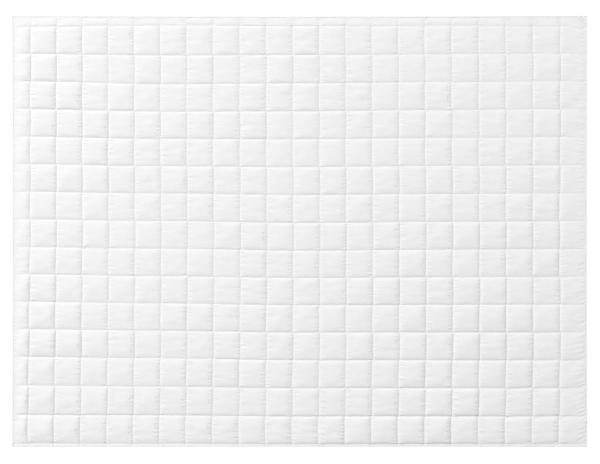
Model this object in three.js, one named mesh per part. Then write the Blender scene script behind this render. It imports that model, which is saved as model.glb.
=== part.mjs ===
// A quilted duvet lying open and flat on a surface, in millimetres with +Z up.
// The long side runs along X and the short side along Y. The origin is on the surface, under the middle.
// The panel is one filled solid: each square has its own crown on top, rests flat on the surface below, and
// is drawn together along the sewn channels on both faces. A narrow binding closes the four edges.

import * as THREE from "three";

// Overall sizes
const LENGTH = 2000; // along X, over the binding
const WIDTH = 1500; // along Y, over the binding

// Heights above the surface
const CROWN_HEIGHT = 12.6; // the top of a square of middling fill
const UNEVEN_FILL = 0.12; // squares hold this share more or less than their neighbours
const SEAM_HEIGHT = 6; // the middle of the panel at a sewn channel
const SEAM_THICKNESS = 2.4; // both cloths and the filling, pressed flat by the stitching
const EDGE_HEIGHT = 3.5; // the middle of the panel inside its binding and at the channel by the bottom edge
const EDGE_THICKNESS = 4.4; // of the panel inside its binding

// Sewn channels. Columns are counted from the left edge and rows from the top edge.
const COLUMN_SEAMS = 21;
const FIRST_COLUMN_SEAM = 63.1;
const COLUMN_PITCH = 90.1; // the first pitch
const COLUMN_GROWTH = 0.2; // each pitch is this much wider than the one on its left
const ROW_SEAMS = 16;
const FIRST_ROW_SEAM = 36.4;
const ROW_PITCH = 96.8;

// How far the channels wander from straight lines, at five places across and five places down.
// A row's channel moves towards the bottom edge, a column's channel towards the right edge.
const ROW_SAG = [
  { down: 0.0, left: 4, quarter: -3, middle: 0, threeQuarter: 0, right: 1 },
  { down: 0.13, left: -2, quarter: 8.5, middle: 5.5, threeQuarter: 1, right: -2 },
  { down: 0.48, left: -6, quarter: 0, middle: 7, threeQuarter: 3, right: 0 },
  { down: 0.8, left: -12.5, quarter: -7, middle: 0, threeQuarter: 0, right: 0.5 },
  { down: 1.0, left: -0.5, quarter: -0.5, middle: 2.5, threeQuarter: 1.5, right: 1.5 },
];
const COLUMN_LEAN = [
  { down: 0.0, left: 3.5, quarter: 1, middle: 4, threeQuarter: -0.5, right: 4 },
  { down: 0.25, left: 1.5, quarter: 1, middle: 4, threeQuarter: 1, right: 3.5 },
  { down: 0.5, left: 1.5, quarter: 4, middle: 6, threeQuarter: 4.5, right: 0 },
  { down: 0.75, left: -3, quarter: 2, middle: 4, threeQuarter: 4.5, right: 3 },
  { down: 1.0, left: -8, quarter: -3, middle: 0, threeQuarter: -1.5, right: -2 },
];

// How full the squares are, at the same places: 1 is middling
const FILL = [
  { down: 0.1, left: 1.17, quarter: 0.84, middle: 0.85, threeQuarter: 0.75, right: 0.58 },
  { down: 0.3, left: 1.27, quarter: 0.9, middle: 0.85, threeQuarter: 0.74, right: 0.74 },
  { down: 0.5, left: 0.96, quarter: 0.77, middle: 0.8, threeQuarter: 0.9, right: 0.78 },
  { down: 0.7, left: 1.24, quarter: 0.9, middle: 0.92, threeQuarter: 1.18, right: 1 },
  { down: 0.9, left: 1.28, quarter: 0.83, middle: 1.02, threeQuarter: 1.27, right: 0.92 },
];

// How far the middle of each side is drawn in
const DRAW_IN = { left: 2, right: 1, top: 2, bottom: 1 };

// Binding
const BINDING_WIDTH = 4.5;
const BINDING_HEIGHT = 7;
const BINDING_CLOTH = 1; // the folded strip above and below the panel's edge
const BINDING_ROUND = 0.6; // of the lips
const FIT_GAP = 0.3; // between the panel and the binding, and between two lengths at a corner

// The panel's tongue inside the binding
const TONGUE_INSET = BINDING_CLOTH + 2 * FIT_GAP;
const PANEL_INSET = BINDING_WIDTH + 2 * FIT_GAP;

// The rise of a square from its channels, and from the binding at the duvet's edges: distance in from there,
// as a length and as the largest share of the square's short side, and the share of the full rise that is
// reached there
const RISE = [
  { channel: { inset: 8, share: 0.2 }, edge: { inset: 14, share: 0.3 }, reached: 0.5 },
  { channel: { inset: 24, share: 0.36 }, edge: { inset: 34, share: 0.45 }, reached: 0.87 },
];
const FOOT = { inset: 15, share: 0.3 }; // where the underside meets the surface
const FULL_SIDE = 80; // squares with a shorter side than this stand lower
const SMALLEST_FOOT = 20; // strips narrower than this stay clear of the surface

const COLUMNS = COLUMN_SEAMS + 1;
const ROWS = ROW_SEAMS + 1;

// Distance of channel i from the left edge. Channel 0 and the last one are the panel's sides.
function columnAt(i) {
  if (i === 0) return PANEL_INSET;
  if (i === COLUMNS) return LENGTH - PANEL_INSET;
  const n = i - 1;
  return FIRST_COLUMN_SEAM + COLUMN_PITCH * n + (COLUMN_GROWTH * n * (n - 1)) / 2;
}

// Distance of channel j from the top edge
function rowAt(j) {
  if (j === 0) return PANEL_INSET;
  if (j === ROWS) return WIDTH - PANEL_INSET;
  return FIRST_ROW_SEAM + ROW_PITCH * (j - 1);
}

function blend(a, b, t) {
  return THREE.MathUtils.lerp(a, b, THREE.MathUtils.smoothstep(t, 0, 1));
}

// Reads one of the tables at a place given as shares of the length and of the width
function tableAt(table, across, down) {
  let k = 0;
  while (k < table.length - 2 && table[k + 1].down <= down) k += 1;
  const upper = table[k];
  const lower = table[k + 1];
  const t = Math.min(1, Math.max(0, (down - upper.down) / (lower.down - upper.down)));
  const places = ["left", "quarter", "middle", "threeQuarter", "right"];
  const place = Math.min(3.999, Math.max(0, across * 4));
  const a = places[Math.floor(place)];
  const b = places[Math.floor(place) + 1];
  const u = place - Math.floor(place);
  return blend(blend(upper[a], upper[b], u), blend(lower[a], lower[b], u), t);
}

function drawIn(side, share) {
  return DRAW_IN[side] * Math.sin(Math.PI * share);
}

// Place of the crossing of channels i and j, in plan
function crossing(i, j) {
  const across = (columnAt(i) - PANEL_INSET) / (LENGTH - 2 * PANEL_INSET);
  const down = (rowAt(j) - PANEL_INSET) / (WIDTH - 2 * PANEL_INSET);
  let x = columnAt(i);
  let y = rowAt(j);
  if (i === 0) x += drawIn("left", down);
  else if (i === COLUMNS) x -= drawIn("right", down);
  else x += tableAt(COLUMN_LEAN, across, down);
  if (j === 0) y += drawIn("top", across);
  else if (j === ROWS) y -= drawIn("bottom", across);
  else y += tableAt(ROW_SAG, across, down);
  return new THREE.Vector2(x - LENGTH / 2, WIDTH / 2 - y);
}

// Crossings along one side in order, and the step from the panel's side line to the edge of the duvet
const SIDES = {
  top: { count: COLUMNS, at: (k) => crossing(k, 0), out: new THREE.Vector2(0, 1) },
  right: { count: ROWS, at: (k) => crossing(COLUMNS, k), out: new THREE.Vector2(1, 0) },
  bottom: { count: COLUMNS, at: (k) => crossing(COLUMNS - k, ROWS), out: new THREE.Vector2(0, -1) },
  left: { count: ROWS, at: (k) => crossing(0, ROWS - k), out: new THREE.Vector2(-1, 0) },
};

// Point of a side at crossing k, the given distance in from the edge of the duvet. At the two ends of the
// side the point lies on the mitre line, moved back along the side by half of the gap there.
function sidePoint(name, k, inset, gap) {
  const side = SIDES[name];
  const p = side.at(k).clone().addScaledVector(side.out, PANEL_INSET - inset);
  if (k !== 0 && k !== side.count) return p;
  const along = new THREE.Vector2(side.out.y, -side.out.x);
  const outward = k === 0 ? -1 : 1;
  return p.addScaledVector(along, outward * (PANEL_INSET - inset - gap / Math.SQRT2));
}

// A closed mesh put together from quads
class Shell {
  constructor() {
    this.points = [];
    this.faces = [];
  }

  point(x, y, z) {
    this.points.push(x, y, z);
    return this.points.length / 3 - 1;
  }

  quad(a, b, c, d) {
    this.faces.push(a, b, c, a, c, d);
  }

  // The band between two loops with the same number of points, counter-clockwise seen from outside
  band(outer, inner) {
    for (let k = 0; k < outer.length; k += 1) {
      const n = (k + 1) % outer.length;
      this.quad(outer[k], outer[n], inner[n], inner[k]);
    }
  }

  geometry() {
    const made = new THREE.BufferGeometry();
    made.setAttribute("position", new THREE.Float32BufferAttribute(this.points, 3));
    made.setIndex(this.faces);
    made.computeVertexNormals();
    return made;
  }
}

// Full rise of the square in column i and row j above its channels
function squareRise(i, j, shortSide) {
  const uneven = THREE.MathUtils.seededRandom(1 + i * ROWS + j) * 2 - 1;
  const fill = tableAt(FILL, (i + 0.5) / COLUMNS, (j + 0.5) / ROWS) * (1 + UNEVEN_FILL * uneven);
  const full = CROWN_HEIGHT - SEAM_HEIGHT - SEAM_THICKNESS / 2;
  return full * fill * Math.min(1, Math.pow(shortSide / FULL_SIDE, 0.75));
}

// Heights of both faces of the panel at the crossing of channels i and j
function crossingHeights(i, j) {
  const isSide = i === 0 || j === 0 || i === COLUMNS || j === ROWS;
  if (isSide) return { top: EDGE_HEIGHT + EDGE_THICKNESS / 2, bottom: EDGE_HEIGHT - EDGE_THICKNESS / 2 };
  const middle = j === ROW_SEAMS ? EDGE_HEIGHT : SEAM_HEIGHT;
  return { top: middle + SEAM_THICKNESS / 2, bottom: middle - SEAM_THICKNESS / 2 };
}

// The outermost points of a grid of crossings, clockwise from the top left corner
function around(grid) {
  const loop = [];
  for (let i = 0; i < COLUMNS; i += 1) loop.push(grid[0][i]);
  for (let j = 0; j < ROWS; j += 1) loop.push(grid[j][COLUMNS]);
  for (let i = COLUMNS; i > 0; i -= 1) loop.push(grid[ROWS][i]);
  for (let j = ROWS; j > 0; j -= 1) loop.push(grid[j][0]);
  return loop;
}

function quiltedPanel() {
  const shell = new Shell();

  // Crossings on both faces
  const upper = [];
  const lower = [];
  for (let j = 0; j <= ROWS; j += 1) {
    upper.push([]);
    lower.push([]);
    for (let i = 0; i <= COLUMNS; i += 1) {
      const p = crossing(i, j);
      const { top, bottom } = crossingHeights(i, j);
      upper[j].push(shell.point(p.x, p.y, top));
      lower[j].push(shell.point(p.x, p.y, bottom));
    }
  }

  // Squares
  for (let j = 0; j < ROWS; j += 1) {
    for (let i = 0; i < COLUMNS; i += 1) {
      const corners = [crossing(i, j + 1), crossing(i + 1, j + 1), crossing(i + 1, j), crossing(i, j)];
      const middle = corners.reduce((sum, c) => sum.add(c), new THREE.Vector2()).multiplyScalar(0.25);
      const wide = (corners[1].x - corners[0].x + corners[2].x - corners[3].x) / 2;
      const tall = (corners[3].y - corners[0].y + corners[2].y - corners[1].y) / 2;
      const shortSide = Math.min(wide, tall);
      const rise = squareRise(i, j, shortSide);
      const base = (crossingHeights(i, j).top + crossingHeights(i + 1, j + 1).top) / 2;
      const inward = (c, insetX, insetY) => [
        c.x + (middle.x - c.x) * ((2 * insetX) / wide),
        c.y + (middle.y - c.y) * ((2 * insetY) / tall),
      ];

      // Left, right, top and bottom sides of the square that are edges of the duvet rise more gently
      const atEdge = { left: i === 0, right: i === COLUMNS - 1, top: j === 0, bottom: j === ROWS - 1 };
      const insetOf = (step, edge) => Math.min(step[edge].inset, step[edge].share * shortSide);
      let loop = [upper[j + 1][i], upper[j + 1][i + 1], upper[j][i + 1], upper[j][i]];
      for (const step of RISE) {
        const next = corners.map((c, k) => {
          const insetX = insetOf(step, atEdge[k === 0 || k === 3 ? "left" : "right"] ? "edge" : "channel");
          const insetY = insetOf(step, atEdge[k < 2 ? "bottom" : "top"] ? "edge" : "channel");
          return shell.point(...inward(c, insetX, insetY), base + rise * step.reached);
        });
        shell.band(loop, next);
        loop = next;
      }
      const crown = shell.point(middle.x, middle.y, base + rise);
      for (let k = 0; k < 4; k += 1) shell.faces.push(loop[k], loop[(k + 1) % 4], crown);

      const foot = Math.min(FOOT.inset, FOOT.share * shortSide);
      const footHeight = shortSide < SMALLEST_FOOT ? EDGE_HEIGHT - EDGE_THICKNESS / 2 : 0;
      const under = [lower[j][i], lower[j][i + 1], lower[j + 1][i + 1], lower[j + 1][i]];
      const below = [corners[3], corners[2], corners[1], corners[0]];
      const sole = below.map((c) => shell.point(...inward(c, foot, foot), footHeight));
      shell.band(under, sole);
      shell.quad(...sole);
    }
  }

  // Tongue inside the binding, round the four sides
  const upperRim = [];
  const lowerRim = [];
  for (const name of Object.keys(SIDES)) {
    for (let k = 0; k < SIDES[name].count; k += 1) {
      const p = sidePoint(name, k, TONGUE_INSET, 0);
      upperRim.push(shell.point(p.x, p.y, EDGE_HEIGHT + EDGE_THICKNESS / 2));
      lowerRim.push(shell.point(p.x, p.y, EDGE_HEIGHT - EDGE_THICKNESS / 2));
    }
  }
  shell.band(around(upper), upperRim);
  shell.band(upperRim, lowerRim);
  shell.band(lowerRim, around(lower));
  return shell.geometry();
}

// Section of the binding: distance in from the edge of the duvet, and height. The strip is folded round the
// tongue, so the section is open towards the panel.
function bindingSection() {
  const lowLip = BINDING_CLOTH;
  const highLip = BINDING_HEIGHT - BINDING_CLOTH;
  return [
    new THREE.Vector2(0, BINDING_HEIGHT / 2),
    new THREE.Vector2(0.4, BINDING_HEIGHT * 0.16),
    new THREE.Vector2(1.2, 0),
    new THREE.Vector2(BINDING_WIDTH - BINDING_ROUND, 0),
    new THREE.Vector2(BINDING_WIDTH, lowLip - BINDING_ROUND / 2),
    new THREE.Vector2(BINDING_WIDTH, lowLip),
    new THREE.Vector2(TONGUE_INSET - FIT_GAP, lowLip),
    new THREE.Vector2(TONGUE_INSET - FIT_GAP, highLip),
    new THREE.Vector2(BINDING_WIDTH, highLip),
    new THREE.Vector2(BINDING_WIDTH, highLip + BINDING_ROUND / 2),
    new THREE.Vector2(BINDING_WIDTH - BINDING_ROUND, BINDING_HEIGHT),
    new THREE.Vector2(1.2, BINDING_HEIGHT),
    new THREE.Vector2(0.4, BINDING_HEIGHT * 0.84),
  ];
}

function binding(name) {
  const shell = new Shell();
  const section = bindingSection();
  const count = SIDES[name].count;
  const rings = [];
  for (let k = 0; k <= count; k += 1) {
    rings.push(
      section.map((s) => {
        const p = sidePoint(name, k, s.x, FIT_GAP);
        return shell.point(p.x, p.y, s.y);
      }),
    );
  }
  for (let k = 0; k < count; k += 1) shell.band(rings[k + 1], rings[k]);
  for (const [a, b, c] of THREE.ShapeUtils.triangulateShape(section, [])) {
    shell.faces.push(rings[0][a], rings[0][b], rings[0][c]);
    shell.faces.push(rings[count][a], rings[count][c], rings[count][b]);
  }
  return shell.geometry();
}

function cloth(name, color) {
  return new THREE.MeshStandardMaterial({ name, color, roughness: 0.85, metalness: 0 });
}

function add(group, name, geometry, material) {
  const mesh = new THREE.Mesh(geometry, material);
  mesh.name = name;
  group.add(mesh);
}

const group = new THREE.Group();
group.name = "duvet";
add(group, "quilted_panel", quiltedPanel(), cloth("panel_cloth", 0xf2f2f2));
for (const name of Object.keys(SIDES)) {
  add(group, `binding_${name}`, binding(name), cloth("binding_cloth", 0xf4f4f4));
}

export default group;
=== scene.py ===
"""A quilted duvet lying open and flat on a pale studio floor, seen from straight above.

The panel is one closed mesh. Its crowns and channels are worked out square by square, and the gathers in
its cloth come from a cloth simulation in which every square is held along its channels. The binding, its
stitches and the quilting stitches are meshes of their own. Sizes are in millimetres until a mesh is made,
and X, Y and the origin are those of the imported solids.
"""

import bpy
import numpy as np
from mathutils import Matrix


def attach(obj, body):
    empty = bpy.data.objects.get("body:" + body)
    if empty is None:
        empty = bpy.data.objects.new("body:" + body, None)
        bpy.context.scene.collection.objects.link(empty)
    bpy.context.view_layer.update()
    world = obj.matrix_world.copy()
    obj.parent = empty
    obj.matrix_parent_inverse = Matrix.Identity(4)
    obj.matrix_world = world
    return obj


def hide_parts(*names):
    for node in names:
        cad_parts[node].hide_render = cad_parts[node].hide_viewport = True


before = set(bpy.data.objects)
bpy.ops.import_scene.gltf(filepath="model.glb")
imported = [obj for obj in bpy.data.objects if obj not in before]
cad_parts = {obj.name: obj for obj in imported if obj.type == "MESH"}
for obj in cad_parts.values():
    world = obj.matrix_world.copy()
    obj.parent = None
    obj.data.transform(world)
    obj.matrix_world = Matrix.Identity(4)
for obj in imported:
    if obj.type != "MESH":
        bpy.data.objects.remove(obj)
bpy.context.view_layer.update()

MM = 0.001

# Sizes that the solids share
LENGTH = 2000.0
WIDTH = 1500.0
CROWN_HEIGHT = 12.6
SEAM_HEIGHT = 6.0
SEAM_THICKNESS = 2.4
EDGE_HEIGHT = 3.5
EDGE_THICKNESS = 4.4
COLUMN_SEAMS = 21
FIRST_COLUMN_SEAM = 63.1
COLUMN_PITCH = 90.1
COLUMN_GROWTH = 0.2
ROW_SEAMS = 16
FIRST_ROW_SEAM = 36.4
ROW_PITCH = 96.8
BINDING_WIDTH = 4.5
BINDING_HEIGHT = 7.0
BINDING_CLOTH = 1.0
FIT_GAP = 0.3
LIP_GAP = 0.1
TONGUE_INSET = BINDING_CLOTH + 2 * FIT_GAP
PANEL_INSET = BINDING_WIDTH + LIP_GAP
COLUMNS = COLUMN_SEAMS + 1
ROWS = ROW_SEAMS + 1

# Tables over the duvet: the share of the width from the top edge, then the value at the left, a quarter,
# the middle, three quarters and the right. Rows of stitching wander down by ROW_SAG, columns to the right
# by COLUMN_LEAN, and squares are as full as FILL says. STEEP_ACROSS and STEEP_DOWN say how fast a square
# rises beside the columns' channels and beside the rows', because the cloth is tighter one way than the
# other.
ROW_SAG = (
    (0.0, 4, -3, 0, 0, 1),
    (0.13, -2, 8.5, 5.5, 1, -2),
    (0.48, -6, 0, 7, 3, 0),
    (0.8, -12.5, -7, 0, 0, 0.5),
    (1.0, -0.5, -0.5, 2.5, 1.5, 1.5),
)
COLUMN_LEAN = (
    (0.0, 3.5, 1, 4, -0.5, 4),
    (0.25, 1.5, 1, 4, 1, 3.5),
    (0.5, 1.5, 4, 6, 4.5, 0),
    (0.75, -3, 2, 4, 4.5, 3),
    (1.0, -8, -3, 0, -1.5, -2),
)
FILL = (
    (0.1, 1.17, 0.84, 0.85, 0.75, 0.58),
    (0.3, 1.27, 0.9, 0.85, 0.74, 0.74),
    (0.5, 0.96, 0.77, 0.8, 0.9, 0.78),
    (0.7, 1.24, 0.9, 0.92, 1.18, 1.0),
    (0.9, 1.28, 0.83, 1.02, 1.27, 0.92),
)
STEEP_ACROSS = (
    (0.1, 1.05, 0.85, 0.7, 0.95, 1.25),
    (0.5, 1.05, 0.95, 0.85, 1.15, 1.25),
    (0.9, 1.35, 1.0, 0.8, 1.0, 1.1),
)
STEEP_DOWN = (
    (0.1, 1.0, 1.0, 1.2, 0.8, 0.5),
    (0.5, 0.7, 0.85, 1.05, 0.9, 0.65),
    (0.9, 0.65, 0.65, 1.05, 1.0, 0.8),
)
DRAW_IN = {"left": 2.0, "right": 1.0, "top": 2.0, "bottom": 1.0}

# The columns' stitching steps sideways at each row, because each needle is moved over there
ROW_STEP = 1.5
STEP_LENGTH = 5.0
# All stitching wanders a little, but less and less within a margin of the edge
WANDER, WANDER_LENGTH = 0.35, 45.0
WANDER_MARGIN = 60.0
WANDER_SEEDS = (3, 4)

# Mesh of the upper face: places across a square, as shares of its width. Beside the channels every step
# down is kept, and in the middle every second one. The last column is the most wrinkled, most of all along
# the edge.
ACROSS = (0.0, 0.022, 0.075, 0.165, 0.32, 0.5, 0.68, 0.835, 0.925, 0.978, 1.0)
COARSE = (4, 5, 6)
LAST_COLUMN = (*ACROSS[:4], 0.29, 0.41, 0.51, 0.585, 0.64, *np.linspace(0.68, 1.0, 14))
STEPS_DOWN = 28
STEPS_TOP_ROW = 18
STEPS_BOTTOM_ROW = 4
EASE_DOWN = 0.15
# The steps that the underside keeps
UNDER_ACROSS = (0, 3, 7, 10)
UNDER_LAST_COLUMN = (0, 3, 15, 22)
UNDER_DOWN = (0, 5, 23, 28)
UNDER_TOP_ROW = (0, 6, 12, 18)
UNDER_BOTTOM_ROW = (0, 2, 4)

# A distance longer than any square, and one that keeps a division from failing
FAR = 1e3
TINY = 1e-6

# Form of a square: a side below FULL_SIDE lowers the crown
FULL_SIDE = 80.0
SMALL_POWER = 0.35
GROOVE_SHARE, GROOVE_REACH = 0.56, 11.0
CREASE_SHARE, CREASE_REACH = 0.2, 2.0
# Feet of the underside: reach of their sides, the largest share of a square that it takes, the height of a
# row whose feet come all the way down, and the least height of the channels underneath
FOOT_REACH = 16.0
FOOT_SHARE = 0.4
FOOT_ROW = 20.0
LEAST_SOLE = 0.3
# Dip of the channels at the crossings
DIP = 0.6
DIP_REACH = 7.0
DIP_MARGIN = 12.0
# Beside the binding the panel comes up to RIM_TOP and is thicker
EDGE_REACH = 30.0
RIM_TOP = 6.8
RIM_REACH = 8.0
RIM_STEP = 0.05
# How the outer squares come down to the binding: width of the flat margin, reach of the roll beside it, and
# share of the rise that is left there
EDGE_FALL = {
    "left": (6.0, 45.0, 0.8),
    "right": (0.0, 13.0, 0.4),
    "top": (3.5, 25.0, 0.5),
    "bottom": (0.0, 14.0, 0.1),
}
EDGE_FALL_LENGTH = 80.0
EDGE_FALL_SHARE = 0.8
# A corner that is drawn flat: X and Y, reach, and share of the rise that is lost
FLAT_CORNER = (968.0, 714.0, 36.0, 0.75)
# The last row of stitching lies deeper than the others, and nearer the row above than their pitch gives
LAST_ROW_DROP, LAST_ROW_REACH = 0.9, 14.0
LAST_ROW_MARGIN = 6.0
LAST_ROW_UP = 0.9
# How far the columns' stitching pulls down the strip under the last row and the binding below it
NOTCH, NOTCH_REACH = 1.0, 4.0
# What makes the squares differ: fill, place of the highest point, and a slow swell that starts beside the
# channels
UNEVEN_FILL = 0.2
OFF_CENTRE = 0.3
SWELL, SWELL_LENGTH = 0.3, 60.0
SWELL_START = 25.0
SWELL_SEED = 5

# Cloth simulation of the squares, at a scale of 100 mm to one unit
SIM = 0.01
SIM_FRAMES = 20
SEWN_FRAME = 6
START_RISE = 0.1
START_NOISE = 0.3
PRESSURE = 6.0
PRESSURE_MEAN, PRESSURE_UNEVEN = 0.86, 0.14
CLOTH = {
    "quality": 5,
    "mass": 0.3,
    "air_damping": 1.0,
    "tension_stiffness": 40.0,
    "compression_stiffness": 40.0,
    "shear_stiffness": 10.0,
    "bending_stiffness": 0.5,
}
# How much of the gathers is kept: short ones, up to a limit, and swells longer than a length. They start
# beside the columns' channels and fade out over their reach to the share that is kept in the middle of a
# square. The first and last columns have fewer of them, and there are more towards the bottom edge.
GATHER = 2.4
GATHER_LIMIT = 2.4
GATHER_SWELL = 0.8
GATHER_SWELL_LENGTH = 10.0
GATHER_MIDDLE = 0.25
GATHER_SIDE_COLUMNS = 0.6
GATHER_BOTTOM = 0.2
GATHER_BOTTOM_FROM, GATHER_BOTTOM_OVER = 300.0, 400.0
GATHER_REACH = 24.0
GATHER_START = 5.0
# How much longer each square's cloth is than its place: least and most
SLACK_ACROSS = (0.0, 0.012)
SLACK_DOWN = (0.015, 0.055)
# Squares that are sewn askew: first and last row, first and last column, counted from 0 at the top left,
# and the skew
ASKEW = (
    (0, 1, 21, 21, 0.025),
    (2, 5, 20, 21, 0.012),
    (9, 11, 20, 21, -0.012),
    (12, 15, 19, 21, -0.02),
)
# Wrinkles that stand out: X and Y, the way their crests run in degrees, the distance between two crests,
# how far the patch reaches along and across the crests, their height, and how much steeper one flank is
# than the other. The crests bend to and fro, and they end a little way from the channels.
WRINKLE_BEND, WRINKLE_BEND_LENGTH = 0.8, 13.0
WRINKLE_START = 4.0
WRINKLES = (
    (981, 731, -38, 8.8, 22, 15, 2.3, 0.8),
    (950, 728, -20, 11.0, 26, 10, 0.4, 0.0),
    (972, 703, -8, 11.0, 14, 14, 0.5, 0.3),
    (978, -690, 48, 9.0, 18, 36, 0.8, 0.4),
    (986, -545, 40, 10.0, 14, 40, 0.45, 0.3),
    (393, -3, 45, 14.0, 32, 22, 0.3, 0.0),
    (101, -97, 40, 14.0, 30, 20, 0.3, 0.0),
    (8, 191, 35, 15.0, 34, 22, 0.3, 0.0),
    (-895, -710, 3, 18.0, 60, 18, 0.7, 0.3),
    (-968, -613, 88, 9.5, 12, 24, 0.45, 0.0),
)

rng = np.random.default_rng(11)


def smooth(t):
    t = np.clip(t, 0.0, 1.0)
    return t * t * (3 - 2 * t)


def column_at(i):
    if i == 0:
        return PANEL_INSET
    if i == COLUMNS:
        return LENGTH - PANEL_INSET
    n = i - 1
    return FIRST_COLUMN_SEAM + COLUMN_PITCH * n + COLUMN_GROWTH * n * (n - 1) / 2


def row_at(j):
    if j == 0:
        return PANEL_INSET
    if j == ROWS:
        return WIDTH - PANEL_INSET
    return FIRST_ROW_SEAM + ROW_PITCH * (j - 1) - (LAST_ROW_UP if j == ROW_SEAMS else 0.0)


def table_at(table, across, down):
    k = 0
    while k < len(table) - 2 and table[k + 1][0] <= down:
        k += 1
    upper, lower = table[k], table[k + 1]
    t = smooth((down - upper[0]) / (lower[0] - upper[0]))
    parts = len(upper) - 2
    place = min(parts - 0.001, max(0.0, across * parts))
    n = int(place)
    u = smooth(place - n)
    high = upper[1 + n] + (upper[2 + n] - upper[1 + n]) * u
    low = lower[1 + n] + (lower[2 + n] - lower[1 + n]) * u
    return high + (low - high) * t


def crossing(i, j):
    across = (column_at(i) - PANEL_INSET) / (LENGTH - 2 * PANEL_INSET)
    down = (row_at(j) - PANEL_INSET) / (WIDTH - 2 * PANEL_INSET)
    x, y = column_at(i), row_at(j)
    if i == 0:
        x += DRAW_IN["left"] * np.sin(np.pi * down)
    elif i == COLUMNS:
        x -= DRAW_IN["right"] * np.sin(np.pi * down)
    else:
        x += table_at(COLUMN_LEAN, across, down)
    if j == 0:
        y += DRAW_IN["top"] * np.sin(np.pi * across)
    elif j == ROWS:
        y -= DRAW_IN["bottom"] * np.sin(np.pi * across)
    else:
        y += table_at(ROW_SAG, across, down)
    return x - LENGTH / 2, WIDTH / 2 - y


def spread(count, ease):
    t = np.arange(count + 1) / count
    return t - ease * np.sin(2 * np.pi * t) / (2 * np.pi)


def waves(x, y, length, seed, count=14):
    """An even, random swell of about unit height with crests about one length apart."""
    draw = np.random.default_rng(seed)
    total = np.zeros(np.broadcast(x, y).shape)
    for _ in range(count):
        angle = draw.uniform(0, np.pi)
        size = 2 * np.pi / (length * draw.uniform(0.75, 1.35))
        total += np.cos(size * (x * np.cos(angle) + y * np.sin(angle)) + draw.uniform(0, 2 * np.pi))
    return total * np.sqrt(2.0 / count)


CROSS = np.array([[crossing(i, j) for i in range(COLUMNS + 1)] for j in range(ROWS + 1)])


def stations(cells):
    """The square of each station, its place in it, whether it is a channel or fine, and those kept below."""
    square, share, seam, fine, kept = [], [], [], [], []
    for k, (fractions, coarse, under) in enumerate(cells):
        for n, f in enumerate(fractions[:-1]):
            if n in under:
                kept.append(len(square))
            square.append(k)
            share.append(f)
            seam.append(n == 0)
            fine.append(n not in coarse)
    kept.append(len(square))
    square.append(len(cells) - 1)
    share.append(1.0)
    seam.append(True)
    fine.append(True)
    return np.array(square), np.array(share), np.array(seam), np.array(fine), np.array(kept)


across_cells = [(np.array(ACROSS), COARSE, UNDER_ACROSS)] * COLUMNS
across_cells[-1] = (np.array(LAST_COLUMN), (), UNDER_LAST_COLUMN)
down_cells = [(spread(STEPS_DOWN, EASE_DOWN), (), UNDER_DOWN)] * ROWS
down_cells[0] = (spread(STEPS_TOP_ROW, EASE_DOWN), (), UNDER_TOP_ROW)
down_cells[-1] = (spread(STEPS_BOTTOM_ROW, EASE_DOWN), (), UNDER_BOTTOM_ROW)
col, fx, seam_x, fine_x, kept_x = stations(across_cells)
row, fy, seam_y, _, kept_y = stations(down_cells)
column_stations = np.nonzero(seam_x)[0]
row_stations = np.nonzero(seam_y)[0]


def plan():
    """Places of the mesh's points, and the sides of each point's square."""
    f, g = fx[None, :, None], fy[:, None, None]
    a = CROSS[np.ix_(row, col)]
    b = CROSS[np.ix_(row, col + 1)]
    c = CROSS[np.ix_(row + 1, col)]
    d = CROSS[np.ix_(row + 1, col + 1)]
    p = (a * (1 - f) + b * f) * (1 - g) + (c * (1 - f) + d * f) * g
    wide = ((b - a)[..., 0] + (d - c)[..., 0]) / 2
    tall = ((a - c)[..., 1] + (b - d)[..., 1]) / 2
    x, y = p[..., 0], p[..., 1]
    gap = np.minimum(fy, 1 - fy)[:, None] * tall
    hold = smooth(np.minimum(LENGTH / 2 - np.abs(x), WIDTH / 2 - np.abs(y)) / WANDER_MARGIN)
    side = np.where(row % 2 == 0, 1.0, -1.0)[:, None]
    x = x + ROW_STEP * side * smooth(gap / STEP_LENGTH) * hold
    x = x + WANDER * waves(x, y, WANDER_LENGTH, WANDER_SEEDS[0]) * hold
    y = y + WANDER * waves(x, y, WANDER_LENGTH, WANDER_SEEDS[1]) * hold
    return x, y, wide, tall


X, Y, WIDE, TALL = plan()
GAP_X = np.minimum(fx, 1 - fx)[None, :] * WIDE
GAP_Y = np.minimum(fy, 1 - fy)[:, None] * TALL
INSET_X = np.clip(LENGTH / 2 - np.abs(X) - PANEL_INSET, 0, None)
INSET_Y = np.clip(WIDTH / 2 - np.abs(Y) - PANEL_INSET, 0, None)
INSET = np.minimum(INSET_X, INSET_Y)
SQUARE = rng.uniform(-1, 1, (ROWS, COLUMNS))
SHIFT = rng.uniform(-OFF_CENTRE, OFF_CENTRE, (2, ROWS, COLUMNS))


def by_square(table):
    """A table's value in the middle of each square."""
    places = [[((i + 0.5) / COLUMNS, (j + 0.5) / ROWS) for i in range(COLUMNS)] for j in range(ROWS)]
    return np.array([[table_at(table, *place) for place in line] for line in places])


def nearest(a, b):
    """The smaller of two distances, rounded off where they are alike."""
    return (np.maximum(a, TINY) ** -3.0 + np.maximum(b, TINY) ** -3.0) ** (-1 / 3.0)


def to_channel(share, cell, last, size):
    """Distance to the nearer channel. The sides of the duvet don't count: nothing is drawn in there."""
    before = np.where(cell == 0, FAR, share)
    after = np.where(cell == last, FAR, 1 - share)
    return np.minimum(before, after) * size


def arch(share, shift):
    """A low dome over a square, with its top a little off the middle."""
    share = share + shift * share * (1 - share)
    return 4 * share * (1 - share)


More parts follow.
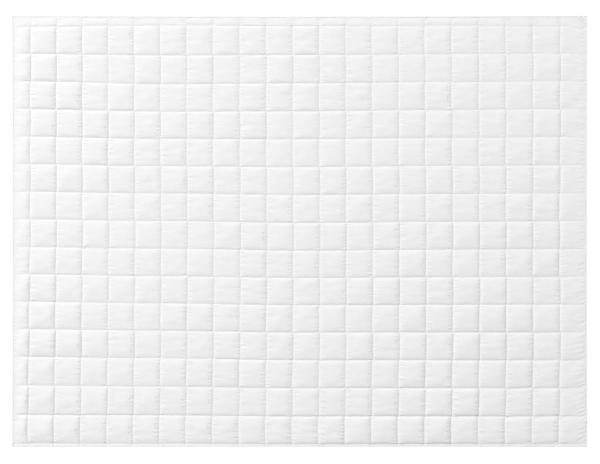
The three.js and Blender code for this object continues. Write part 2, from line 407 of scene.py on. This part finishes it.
def edge_fall(side, inset, size):
    """Share of the rise that is left at a distance from the binding, in the squares of one side."""
    margin, reach, kept = EDGE_FALL[side]
    inset = np.clip(inset - margin, 0, None)
    roll = 1 - (1 - np.minimum(1, inset / np.minimum(reach, EDGE_FALL_SHARE * size))) ** 2
    return (kept + (1 - kept) * smooth(inset / EDGE_FALL_LENGTH)) * roll


def crown():
    """The rise of each point above the channels: steep beside them, and a low dome over the square."""
    f, g = fx[None, :], fy[:, None]
    gap_x = to_channel(f, col[None, :], COLUMNS - 1, WIDE)
    gap_y = to_channel(g, row[:, None], ROWS - 1, TALL)
    gap, most = nearest(gap_x, gap_y), nearest(WIDE, TALL) / 2
    crease = (1 - np.exp(-gap / CREASE_REACH)) / (1 - np.exp(-most / CREASE_REACH))
    groove = (1 - np.exp(-gap / GROOVE_REACH)) / (1 - np.exp(-most / GROOVE_REACH))
    dome = arch(f, SHIFT[0][np.ix_(row, col)]) * arch(g, SHIFT[1][np.ix_(row, col)])
    form = CREASE_SHARE * crease + GROOVE_SHARE * groove + (1 - CREASE_SHARE - GROOVE_SHARE) * dome
    fill = (by_square(FILL) * (1 + UNEVEN_FILL * SQUARE))[np.ix_(row, col)]
    beside_column = gap_y**2 / (gap_x**2 + gap_y**2 + TINY)
    steep_across = by_square(STEEP_ACROSS)[np.ix_(row, col)]
    steep_down = by_square(STEEP_DOWN)[np.ix_(row, col)]
    form = form * (steep_down + (steep_across - steep_down) * beside_column)
    full = CROWN_HEIGHT - SEAM_HEIGHT - SEAM_THICKNESS / 2
    rise = form * full * fill * np.minimum(1.0, (np.minimum(WIDE, TALL) / FULL_SIDE) ** SMALL_POWER)

    rise = rise * np.where(col == 0, edge_fall("left", INSET_X, WIDE), 1.0)
    rise = rise * np.where(col == COLUMNS - 1, edge_fall("right", INSET_X, WIDE), 1.0)
    rise = rise * np.where(row[:, None] == 0, edge_fall("top", INSET_Y, TALL), 1.0)
    rise = rise * np.where(row[:, None] == ROWS - 1, edge_fall("bottom", INSET_Y, TALL), 1.0)
    x, y, reach, lost = FLAT_CORNER
    rise = rise * (1 - lost * np.exp(-((X - x) ** 2 + (Y - y) ** 2) / reach**2))
    swell = SWELL * waves(X, Y, SWELL_LENGTH, SWELL_SEED)
    return rise + swell * smooth(nearest(GAP_X, GAP_Y) / SWELL_START)


def wrinkled():
    """Heights of the wrinkles that stand out."""
    height = np.zeros_like(X)
    for x, y, way, apart, along_reach, across_reach, high, lean in WRINKLES:
        turn = np.radians(way)
        along = (X - x) * np.cos(turn) + (Y - y) * np.sin(turn)
        across = (Y - y) * np.cos(turn) - (X - x) * np.sin(turn)
        patch = np.exp(-((along / along_reach) ** 2) - (across / across_reach) ** 2)
        phase = 2 * np.pi * across / apart + WRINKLE_BEND * np.sin(along / WRINKLE_BEND_LENGTH + x)
        height += high * patch * np.sin(phase + lean * np.sin(phase))
    return height * smooth(np.minimum(INSET, np.minimum(GAP_X, GAP_Y)) / WRINKLE_START)


RISE = crown()


def quads(ny, nx, first=0):
    idx = first + np.arange(ny * nx).reshape(ny, nx)
    return np.stack([idx[1:, :-1], idx[1:, 1:], idx[:-1, 1:], idx[:-1, :-1]], -1).reshape(-1, 4)


def square_slices():
    """The points of each square, with both of the channels on either side."""
    for j in range(ROWS):
        for i in range(COLUMNS):
            rows = slice(row_stations[j], row_stations[j + 1] + 1)
            columns = slice(column_stations[i], column_stations[i + 1] + 1)
            yield j, i, (rows, columns)


def slack_square(x, y, j, i):
    """Where a square's cloth would lie before it is sewn: longer than its place, and in some askew."""
    across = 1 + rng.uniform(*SLACK_ACROSS)
    down = 1 + rng.uniform(*SLACK_DOWN)
    skew = sum(s for first, last, left, right, s in ASKEW if first <= j <= last and left <= i <= right)
    dx, dy = x - x.mean(), y - y.mean()
    return x.mean() + across * dx + skew * dy, y.mean() + down * dy + skew * dx


def blown_up():
    """Moves of the upper face's points from the flat, found by the cloth simulation.

    Each square starts as slack cloth, its sides are drawn in to the channels, and pressure lifts it.
    """
    slack, sewn, faces, fixed, fill, first = [], [], [], [], [], 0
    for j, i, part in square_slices():
        x, y = X[part], Y[part]
        inner = np.zeros(x.shape, bool)
        inner[1:-1, 1:-1] = True
        start = START_RISE * RISE[part] + np.where(inner, rng.normal(0, START_NOISE, x.shape), 0.0)
        slack.append(np.stack([*slack_square(x, y, j, i), start], -1).reshape(-1, 3))
        sewn.append(np.stack([x, y, start], -1).reshape(-1, 3))
        faces.append(quads(*x.shape, first))
        fixed.append(~inner.reshape(-1))
        fill.append(np.full(x.size, round(PRESSURE_MEAN + PRESSURE_UNEVEN * SQUARE[j, i], 2)))
        first += x.size

    mesh = bpy.data.meshes.new("blown_up")
    mesh.from_pydata((np.concatenate(slack) * SIM).tolist(), [], np.concatenate(faces).tolist())
    ob = bpy.data.objects.new("blown_up", mesh)
    bpy.context.scene.collection.objects.link(ob)
    held = ob.vertex_groups.new(name="held")
    held.add(np.nonzero(np.concatenate(fixed))[0].tolist(), 1.0, "REPLACE")
    filled = ob.vertex_groups.new(name="filled")
    fill = np.concatenate(fill)
    for value in np.unique(fill):
        filled.add(np.nonzero(fill == value)[0].tolist(), float(value), "REPLACE")
    ob.shape_key_add(name="slack")
    drawn = ob.shape_key_add(name="sewn")
    drawn.data.foreach_set("co", (np.concatenate(sewn) * SIM).reshape(-1))
    for value, at in ((0.0, 1), (1.0, SEWN_FRAME)):
        drawn.value = value
        drawn.keyframe_insert("value", frame=at)

    cloth = ob.modifiers.new("Cloth", "CLOTH")
    for setting, value in CLOTH.items():
        setattr(cloth.settings, setting, value)
    cloth.settings.use_pressure = True
    cloth.settings.uniform_pressure_force = PRESSURE
    cloth.settings.vertex_group_pressure = "filled"
    cloth.settings.vertex_group_mass = "held"
    cloth.settings.effector_weights.gravity = 0.0
    cloth.collision_settings.use_collision = False
    cloth.point_cache.frame_start = 1
    cloth.point_cache.frame_end = SIM_FRAMES + 1
    scene = bpy.context.scene
    for n in range(1, SIM_FRAMES + 1):
        scene.frame_set(n)
    done = ob.evaluated_get(bpy.context.evaluated_depsgraph_get()).data
    found = np.empty(len(done.vertices) * 3)
    done.vertices.foreach_get("co", found)
    scene.frame_set(1)
    action = mesh.shape_keys.animation_data.action
    bpy.data.objects.remove(ob)
    bpy.data.meshes.remove(mesh)
    bpy.data.actions.remove(action)

    found = found.reshape(-1, 3) / SIM
    moves = np.zeros((*X.shape, 3))
    first = 0
    for _, _, part in square_slices():
        flat = np.stack([X[part], Y[part], 0 * X[part]], -1)
        moves[part] = found[first:first + X[part].size].reshape(flat.shape) - flat
        first += X[part].size
    return moves


def gathers(height):
    """What is left of the blown-up face without its share of the mean square of the same kind."""
    kinds = {}
    for j, i, part in square_slices():
        kinds.setdefault((j == 0, j == ROWS - 1, i == 0, i == COLUMNS - 1), []).append(part)
    left = np.zeros_like(height)
    for parts in kinds.values():
        mean = np.mean([height[part] for part in parts], 0)
        for part in parts:
            share = (height[part] * mean).sum() / (mean * mean).sum()
            rest = height[part] - share * mean
            down = Y[part][:, :1]
            near = np.exp(-(((down - down.T) / GATHER_SWELL_LENGTH) ** 2) / 2)
            swell = near / near.sum(1, keepdims=True) @ rest
            short = GATHER_LIMIT * np.tanh(GATHER * (rest - swell) / GATHER_LIMIT)
            left[part] = short + GATHER_SWELL * swell
    return left


MOVES = np.stack([0 * X, 0 * Y, RISE + wrinkled()], -1)
found = blown_up()
kept = GATHER_MIDDLE + (1 - GATHER_MIDDLE) * np.exp(-((GAP_X / GATHER_REACH) ** 2))
kept = kept * smooth(GAP_X / GATHER_START)
kept = kept * np.where((col == 0) | (col == COLUMNS - 1), GATHER_SIDE_COLUMNS, 1.0)
kept = kept * (1 + GATHER_BOTTOM * smooth((-Y - GATHER_BOTTOM_FROM) / GATHER_BOTTOM_OVER))
found[..., 2] = gathers(found[..., 2]) * kept
MOVES += found

# Height of the upper face along the channels: lowest at the crossings, and lower towards the binding
EDGE_TOP = EDGE_HEIGHT + EDGE_THICKNESS / 2
EDGE_LOW = EDGE_HEIGHT - EDGE_THICKNESS / 2
SEAM_TOP = SEAM_HEIGHT + SEAM_THICKNESS / 2
TOP = RIM_TOP + (SEAM_TOP - RIM_TOP) * smooth(INSET / EDGE_REACH)
TOP = TOP - DIP * np.exp(-np.hypot(GAP_X, GAP_Y) / DIP_REACH) * smooth(INSET / DIP_MARGIN)
above_last = np.where(row[:, None] == ROWS - 2, GAP_Y, FAR)
last_row = np.where(row[:, None] == ROWS - 1, fy[:, None] * TALL, above_last)
TOP = TOP - LAST_ROW_DROP * np.exp(-last_row / LAST_ROW_REACH) * smooth(INSET / LAST_ROW_MARGIN)
TOP = TOP - NOTCH * np.exp(-GAP_X / NOTCH_REACH) * np.where(row == ROWS - 1, 1.0, 0.0)[:, None]
UPPER = np.stack([X, Y, TOP], -1) + MOVES
THICK = SEAM_THICKNESS + (RIM_TOP - EDGE_LOW - SEAM_THICKNESS) * (1 - smooth(INSET / RIM_REACH))


def sole():
    """Height of the underside: drawn up along the channels and flat on the surface between them."""
    drop = smooth(GAP_X / np.minimum(FOOT_REACH, FOOT_SHARE * WIDE))
    drop = drop * smooth(GAP_Y / np.minimum(FOOT_REACH, FOOT_SHARE * TALL))
    return np.maximum(TOP - THICK, LEAST_SOLE) * (1 - drop * smooth(TALL / FOOT_ROW))


UNDER = np.stack([X, Y, sole()], -1)


def around(grid, xs, ys, nx, ny):
    """The outer points of a grid, clockwise from the top left corner, with the station of each."""
    ids = np.concatenate([grid[0, :-1], grid[:-1, -1], grid[-1, :0:-1], grid[:0:-1, 0]])
    after_right = nx + ny - 2
    after_bottom = after_right + nx - 1
    where = [
        xs[:-1],
        nx - 1 + ys[:-1],
        after_right + (nx - 1 - xs[:0:-1]),
        after_bottom + (ny - 1 - ys[:0:-1]),
    ]
    return ids, np.concatenate(where)


def upper_faces(ids):
    """Faces of the upper side: every step down beside the channels, every second one between them."""
    faces = []
    for x in range(ids.shape[1] - 1):
        if fine_x[x] and fine_x[x + 1]:
            left, right = ids[:, x], ids[:, x + 1]
            faces += np.stack([left[1:], right[1:], right[:-1], left[:-1]], -1).tolist()
            continue
        for y in range(0, ids.shape[0] - 1, 2):
            up = [ids[y + 2, x + 1], ids[y + 1, x + 1], ids[y, x + 1]]
            face = [ids[y + 2, x], *up, ids[y, x], ids[y + 1, x]]
            faces.append([v for v in face if v >= 0])
    return faces


# The panel's map: the upper face lies above the split, and the underside, made smaller, below it
MAP_SPLIT = 0.25
UNDER_MAP_WIDE, UNDER_MAP_TALL = 1 / 3, 0.24


def panel():
    """Points, faces and map of the panel, and the channels that the points of its upper face lie on."""
    ny, nx = X.shape
    keep = fine_x[None, :] | (np.arange(ny) % 2 == 0)[:, None]
    ids = np.where(keep, np.cumsum(keep).reshape(keep.shape) - 1, -1)
    first = int(keep.sum())
    under = UNDER[np.ix_(kept_y, kept_x)]
    uy, ux = under.shape[:2]
    faces = upper_faces(ids) + quads(uy, ux, first)[:, ::-1].tolist()

    # Tongue inside the binding, round the four sides
    ring, _ = around(ids, np.arange(nx), np.arange(ny), nx, ny)
    low_ring, low_at = around(first + np.arange(uy * ux).reshape(uy, ux), kept_x, kept_y, nx, ny)
    n = len(ring)
    place = np.arange(n)
    right, bottom, left = nx - 1, nx + ny - 2, 2 * nx + ny - 3
    side = np.zeros((n, 2))
    side[place <= right] += (0, 1)
    side[(place >= right) & (place <= bottom)] += (1, 0)
    side[(place >= bottom) & (place <= left)] += (0, -1)
    side[(place >= left) | (place == 0)] += (-1, 0)
    outline = np.stack([X, Y], -1)[keep][ring]
    rim = outline + side * (PANEL_INSET - TONGUE_INSET)
    step_id = first + uy * ux + place
    rim_id = step_id[-1] + 1 + place
    low_rim_id = rim_id[-1] + 1 + np.arange(len(low_ring))
    points = [
        UPPER[keep],
        under.reshape(-1, 3),
        np.column_stack([outline + side * RIM_STEP, np.full(n, EDGE_TOP)]),
        np.column_stack([rim, np.full(n, EDGE_TOP)]),
        np.column_stack([rim[low_at], np.full(len(low_ring), EDGE_LOW)]),
    ]
    for k in range(n):
        m = (k + 1) % n
        faces.append([ring[k], ring[m], step_id[m], step_id[k]])
        faces.append([step_id[k], step_id[m], rim_id[m], rim_id[k]])
    for k in range(len(low_ring)):
        m = (k + 1) % len(low_ring)
        faces.append([low_rim_id[k], low_rim_id[m], low_ring[m], low_ring[k]])
        end = low_at[m] if m else n
        fine = [rim_id[q % n] for q in range(low_at[k], end + 1)]
        middle = len(fine) // 2
        for q in range(len(fine) - 1):
            faces.append([fine[q], fine[q + 1], low_rim_id[k if q < middle else m]])
        faces.append([fine[middle], low_rim_id[m], low_rim_id[k]])

    # Which channels a point of the upper face lies on: one bit for columns and one for rows
    on_seam = (seam_x[None, :] * 1 + seam_y[:, None] * 2)[keep]
    is_upper = np.arange(low_rim_id[-1] + 1)
    is_upper = (is_upper < first) | ((is_upper >= step_id[0]) & (is_upper <= rim_id[-1]))
    points = np.concatenate(points)
    u, v = points[:, 0] / LENGTH + 0.5, points[:, 1] / WIDTH + 0.5
    upper_map = np.column_stack([u, MAP_SPLIT + (1 - MAP_SPLIT) * v])
    under_map = np.column_stack([UNDER_MAP_WIDE * u, UNDER_MAP_TALL * v])
    return points, faces, np.where(is_upper[:, None], upper_map, under_map), on_seam


# Binding: steps along a side, and how much it is gathered by its stitching
BINDING_STEP = 4.0
FOLD_DEPTH = 0.45
PUCKER_LENGTH = 13.0
PUCKER_WAVES = 7
PUCKER_HEIGHT = 0.35
PUCKER_OUT = 0.5
PUCKER_CORNER = 15.0
PUCKER_START = 1.5
# Quiet and busy stretches: mean, change, length, least and most
BUSY_MEAN, BUSY_CHANGE, BUSY_LENGTH = 0.55, 0.45, 160.0
BUSY_LEAST, BUSY_MOST = 0.1, 3.4
# Stretches that are gathered more: side, where each starts, the length over which it grows, which is
# negative where it grows towards the start of the side, and how much is added
BUSY = (
    ("right", 1230.0, 160.0, 2.6),
    ("right", 60.0, -40.0, 1.6),
    ("top", 1940.0, 40.0, 1.6),
)
# Sides as seen from above: a point's place along the side, clockwise, and its distance in from the edge
SIDES = {
    "top": (LENGTH, lambda a, s: (a - LENGTH / 2, WIDTH / 2 - s)),
    "right": (WIDTH, lambda a, s: (LENGTH / 2 - s, WIDTH / 2 - a)),
    "bottom": (LENGTH, lambda a, s: (LENGTH / 2 - a, s - WIDTH / 2)),
    "left": (WIDTH, lambda a, s: (s - LENGTH / 2, a - WIDTH / 2)),
}
STITCHED_AT = 11


def binding_section():
    """Distance in from the edge and height of the points round the folded strip."""
    turn = np.linspace(-np.pi / 2, np.pi / 2, 9)
    fold = np.column_stack([FOLD_DEPTH * (1 - np.cos(turn)), BINDING_HEIGHT / 2 * (1 + np.sin(turn))])
    low, high = BINDING_CLOTH, BINDING_HEIGHT - BINDING_CLOTH
    lip = BINDING_WIDTH
    top = BINDING_HEIGHT
    back = TONGUE_INSET - FIT_GAP
    upper = [(1.2, top), (2.4, top), (lip - 0.9, top), (lip - 0.3, top)]
    upper += [(lip - 0.05, top - 0.15), (lip, high + 0.2)]
    inner = [(lip - 0.1, high), (back, high), (back, low), (lip - 0.1, low)]
    lower = [(lip, low * 0.6), (lip - 0.5, 0.0)]
    return np.concatenate([fold, upper, inner, lower])


def pucker(a, name, seed):
    """How high the gathers stand at each place along a side: even ripples with quiet and busy stretches."""
    busy = BUSY_MEAN + BUSY_CHANGE * waves(a, 0 * a, BUSY_LENGTH, seed)
    for side, start, over, more in BUSY:
        if side == name:
            busy = busy + more * smooth((a - start) / over)
    lift = np.clip(busy, BUSY_LEAST, BUSY_MOST) * waves(a, 0 * a, PUCKER_LENGTH, seed + 1, PUCKER_WAVES)
    if name == "bottom":
        for x in CROSS[-1, 1:-1, 0]:
            lift = lift - NOTCH / PUCKER_HEIGHT * np.exp(-(((LENGTH / 2 - a - x) / NOTCH_REACH) ** 2))
    return lift


def side_point(name, a, s):
    length, place = SIDES[name]
    share = np.clip((a - PANEL_INSET) / (length - 2 * PANEL_INSET), 0, 1)
    return place(a, s + DRAW_IN[name] * np.sin(np.pi * share))


def binding(name, seed):
    """Points and faces of one side's binding, its map, and the line of its stitching."""
    section = binding_section()
    length = SIDES[name][0]
    steps = int(round(length / BINDING_STEP))
    t = np.linspace(0, 1, steps + 1)[:, None]
    inset, height = section[None, :, 0], section[None, :, 1]
    end = inset + FIT_GAP / np.sqrt(2)
    a = end * (1 - t) + (length - end) * t
    from_corner = np.minimum(a[:, :1], length - a[:, :1])
    lift = pucker(a[:, :1], name, seed) * smooth(from_corner / PUCKER_CORNER)
    out = np.clip(1 - inset / BINDING_WIDTH, 0, 1)
    above = smooth(height / BINDING_HEIGHT)
    x, y = side_point(name, a, inset + PUCKER_OUT * out * (0.5 + 0.5 * lift))
    z = height * np.ones_like(t) + PUCKER_HEIGHT * lift * above * smooth(inset / PUCKER_START)
    rings = np.stack([x, y, np.clip(z, 0, None)], -1)
    count = section.shape[0]
    idx = np.arange(rings.shape[0] * count).reshape(-1, count)
    turned = np.roll(idx, -1, axis=1)
    faces = np.stack([idx[:-1], turned[:-1], turned[1:], idx[1:]], -1).reshape(-1, 4).tolist()
    faces += [idx[0, ::-1].tolist(), idx[-1].tolist()]
    flat = np.stack([t * np.ones((1, count)), np.ones_like(t) * np.linspace(0, 1, count)], -1)
    return rings.reshape(-1, 3), faces, flat.reshape(-1, 2), rings[:, STITCHED_AT]


# Stitches
STITCH_PITCH = 3.4
STITCH_LENGTH = 2.7
STITCH_WIDTH = 0.55
STITCH_HEIGHT = 0.4
STITCH_LIFT = 0.15


def stitches(lines):
    """Points, faces and map of a row of stitches along each line, with their ends sunk into the cloth."""
    middles, ways = [], []
    for line in lines:
        run = np.concatenate([[0], np.cumsum(np.linalg.norm(np.diff(line, axis=0), axis=1))])
        count = int(run[-1] / STITCH_PITCH)
        at = (np.arange(count) + 0.5) * run[-1] / count
        near = np.column_stack([np.interp(at, run, line[:, k]) for k in range(3)])
        ahead = np.column_stack([np.interp(at + 0.5, run, line[:, k]) for k in range(3)])
        behind = np.column_stack([np.interp(at - 0.5, run, line[:, k]) for k in range(3)])
        middles.append(near)
        ways.append(ahead - behind)
    middle, way = np.concatenate(middles), np.concatenate(ways)
    way /= np.linalg.norm(way, axis=1)[:, None]
    cross = np.cross((0, 0, 1), way)
    cross /= np.linalg.norm(cross, axis=1)[:, None]
    lift = np.cross(way, cross)
    # Share of the length, of the half width and of the height at the points of one stitch
    form = [(-0.5, 0, -0.6)]
    for along in (-0.28, 0.28):
        form += [(along, -1, 0.0), (along, 0, -0.9), (along, 1, 0.0), (along, 0, 0.9)]
    form.append((0.5, 0, -0.6))
    form = np.array(form) * (STITCH_LENGTH, STITCH_WIDTH / 2, STITCH_HEIGHT)
    points = (
        middle[:, None]
        + form[None, :, :1] * way[:, None]
        + form[None, :, 1:2] * cross[:, None]
        + (form[None, :, 2:] + STITCH_LIFT) * lift[:, None]
    )
    one = [(0, 2, 1), (0, 3, 2), (0, 4, 3), (0, 1, 4), (9, 5, 6), (9, 6, 7), (9, 7, 8), (9, 8, 5)]
    for k in range(4):
        m = (k + 1) % 4
        one += [(1 + k, 1 + m, 5 + m), (1 + k, 5 + m, 5 + k)]
    faces = np.array(one)[None] + 10 * np.arange(len(middle))[:, None, None]
    points = points.reshape(-1, 3)
    flat = points[:, :2] / (LENGTH, WIDTH) + 0.5
    return points, faces.reshape(-1, 3).tolist(), flat


def make(name, points, faces, flat, material, slot, node=None, sharp=None):
    """A piece from its points and faces, smooth all over apart from the lines between its sharp points."""
    points = np.asarray(points)
    mesh = bpy.data.meshes.new(name)
    mesh.from_pydata((points * MM).tolist(), [], [[int(v) for v in f] for f in faces])
    mesh.polygons.foreach_set("use_smooth", np.ones(len(mesh.polygons), bool))
    mesh.materials.append(material)
    mesh.update()
    corner = np.empty(len(mesh.loops), np.int32)
    mesh.loops.foreach_get("vertex_index", corner)
    mesh.uv_layers.new(name="OFBake").uv.foreach_set("vector", flat[corner].astype(np.float32).reshape(-1))
    if sharp is not None:
        ends = np.empty(len(mesh.edges) * 2, np.int32)
        mesh.edges.foreach_get("vertices", ends)
        ends = ends.reshape(-1, 2)
        line = np.zeros(len(mesh.vertices), np.int64)
        line[: len(sharp)] = sharp
        mesh.edges.foreach_set("use_edge_sharp", (line[ends[:, 0]] & line[ends[:, 1]]) > 0)
    ob = bpy.data.objects.new(name, mesh)
    bpy.context.scene.collection.objects.link(ob)
    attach(ob, "root")
    if node:
        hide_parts(node)
    return ob


# Cloth: how much its white changes, and the scales of that, of its yarns and of its weave
TONE_CHANGE, TONE_SCALE = 0.025, 60.0
YARN_SCALE = 150.0
WEAVE_PITCH = 0.7


def cloth_material(name, white, slub, weave):
    """Closely woven cloth: uneven yarns, a fine weave and a slightly uneven white."""
    m = bpy.data.materials.new(name)
    m.use_nodes = True
    tree = m.node_tree
    b = tree.nodes["Principled BSDF"]
    b.inputs["Roughness"].default_value = 0.85
    b.inputs["Specular IOR Level"].default_value = 0.15
    b.inputs["Sheen Weight"].default_value = 0.05
    b.inputs["Sheen Roughness"].default_value = 0.5
    where = tree.nodes.new("ShaderNodeTexCoord").outputs["Object"]

    def noise(scale, detail, stretch=(1, 1, 1)):
        mapping = tree.nodes.new("ShaderNodeMapping")
        mapping.inputs["Scale"].default_value = stretch
        tree.links.new(where, mapping.inputs["Vector"])
        n = tree.nodes.new("ShaderNodeTexNoise")
        n.inputs["Scale"].default_value = scale
        n.inputs["Detail"].default_value = detail
        tree.links.new(mapping.outputs["Vector"], n.inputs["Vector"])
        return n.outputs["Fac"]

    def math(kind, a, b_value):
        n = tree.nodes.new("ShaderNodeMath")
        n.operation = kind
        tree.links.new(a, n.inputs[0])
        tree.links.new(b_value, n.inputs[1])
        return n.outputs[0]

    def threads(direction, pitch):
        n = tree.nodes.new("ShaderNodeTexWave")
        n.bands_direction = direction
        n.inputs["Scale"].default_value = 2 * np.pi / (20 * pitch * MM)
        n.inputs["Distortion"].default_value = 0.6
        n.inputs["Detail"].default_value = 1.0
        tree.links.new(where, n.inputs["Vector"])
        return n.outputs["Fac"]

    tone = tree.nodes.new("ShaderNodeMix")
    tone.data_type = "RGBA"
    tone.inputs["A"].default_value = (*[white * (1 - TONE_CHANGE)] * 3, 1)
    tone.inputs["B"].default_value = (*[white * (1 + TONE_CHANGE)] * 3, 1)
    tree.links.new(noise(TONE_SCALE, 3.0), tone.inputs["Factor"])
    tree.links.new(tone.outputs["Result"], b.inputs["Base Color"])

    yarns = math("ADD", noise(YARN_SCALE, 3.0, (1, 3, 1)), noise(YARN_SCALE, 3.0, (3, 1, 1)))
    first = tree.nodes.new("ShaderNodeBump")
    first.inputs["Strength"].default_value = 1.0
    first.inputs["Distance"].default_value = slub * MM
    tree.links.new(yarns, first.inputs["Height"])
    second = tree.nodes.new("ShaderNodeBump")
    second.inputs["Strength"].default_value = 1.0
    second.inputs["Distance"].default_value = weave * MM
    woven = math("MULTIPLY", threads("X", WEAVE_PITCH), threads("Y", WEAVE_PITCH))
    tree.links.new(woven, second.inputs["Height"])
    tree.links.new(first.outputs["Normal"], second.inputs["Normal"])
    tree.links.new(second.outputs["Normal"], b.inputs["Normal"])
    return m


# White of each cloth, and the depth of its uneven yarns and of its weave
plain = cloth_material("panel_cloth", 0.695, 0.3, 0.06)
trim = cloth_material("binding_cloth", 0.7, 0.15, 0.06)
thread = cloth_material("thread", 0.74, 0.05, 0.03)

BINDING_SEED = 40
points, faces, flat, on_seam = panel()
duvet = make("duvet", points, faces, flat, plain, "panel_cloth", "quilted_panel", on_seam)
edge_lines = []
for n, name in enumerate(SIDES):
    points, faces, flat, line = binding(name, BINDING_SEED + 2 * n)
    make("edge_" + name, points, faces, flat, trim, "binding_cloth", "binding_" + name)
    edge_lines.append(line)

make("thread_columns", *stitches([UPPER[:, c] for c in column_stations[1:-1]]), thread, "panel_cloth")
make("thread_rows", *stitches([UPPER[r] for r in row_stations[1:-1]]), thread, "panel_cloth")
make("thread_edges", *stitches(edge_lines), thread, "binding_cloth")

# Floor, which is evenly white because it gives off its own light, and which lights nothing else
FLOOR = 30.0
FLOOR_LIGHT = 1.05
floor_mesh = bpy.data.meshes.new("floor")
corners = [(-FLOOR, -FLOOR, 0), (FLOOR, -FLOOR, 0), (FLOOR, FLOOR, 0), (-FLOOR, FLOOR, 0)]
floor_mesh.from_pydata(corners, [], [(0, 1, 2, 3)])
floor = bpy.data.objects.new("floor", floor_mesh)
bpy.context.scene.collection.objects.link(floor)
pale = bpy.data.materials.new("floor")
pale.use_nodes = True
pale_shader = pale.node_tree.nodes["Principled BSDF"]
pale_shader.inputs["Base Color"].default_value = (0, 0, 0, 1)
pale_shader.inputs["Specular IOR Level"].default_value = 0.0
pale_shader.inputs["Roughness"].default_value = 0.9
pale_shader.inputs["Emission Color"].default_value = (1, 1, 1, 1)
pale_shader.inputs["Emission Strength"].default_value = FLOOR_LIGHT
pale.cycles.emission_sampling = "NONE"
floor_mesh.materials.append(pale)

# Even light from all round
AROUND_LIGHT = 0.615
world = bpy.data.worlds.new("studio")
bpy.context.scene.world = world
world.use_nodes = True
world.node_tree.nodes["Background"].inputs["Color"].default_value = (1, 1, 1, 1)
world.node_tree.nodes["Background"].inputs["Strength"].default_value = AROUND_LIGHT

# Soft lights, aimed at the middle: place, size and power
for name, place, size, power in (
    ("key", (-9.4, 14.3, 16.8), 6.0, 4850.0),
    ("fill", (-3.3, 0.4, 2.6), 1.5, 15.0),
):
    lamp = bpy.data.lights.new(name, "AREA")
    lamp.energy = power
    lamp.size = size
    light = bpy.data.objects.new(name, lamp)
    light.location = place
    light.rotation_euler = (-light.location).to_track_quat("-Z", "Y").to_euler()
    light.visible_camera = False
    bpy.context.scene.collection.objects.link(light)

# Camera straight above, a little off the middle as the outline is in its frame
cam = bpy.data.cameras.new("camera")
cam.lens = 85.0
cam.sensor_width = 36.0
cam.sensor_fit = "HORIZONTAL"
camera = bpy.data.objects.new("camera", cam)
camera.location = (0.0015, -0.0021, 4.930)
bpy.context.scene.collection.objects.link(camera)
bpy.context.scene.camera = camera
bpy.context.scene.view_settings.view_transform = "Standard"
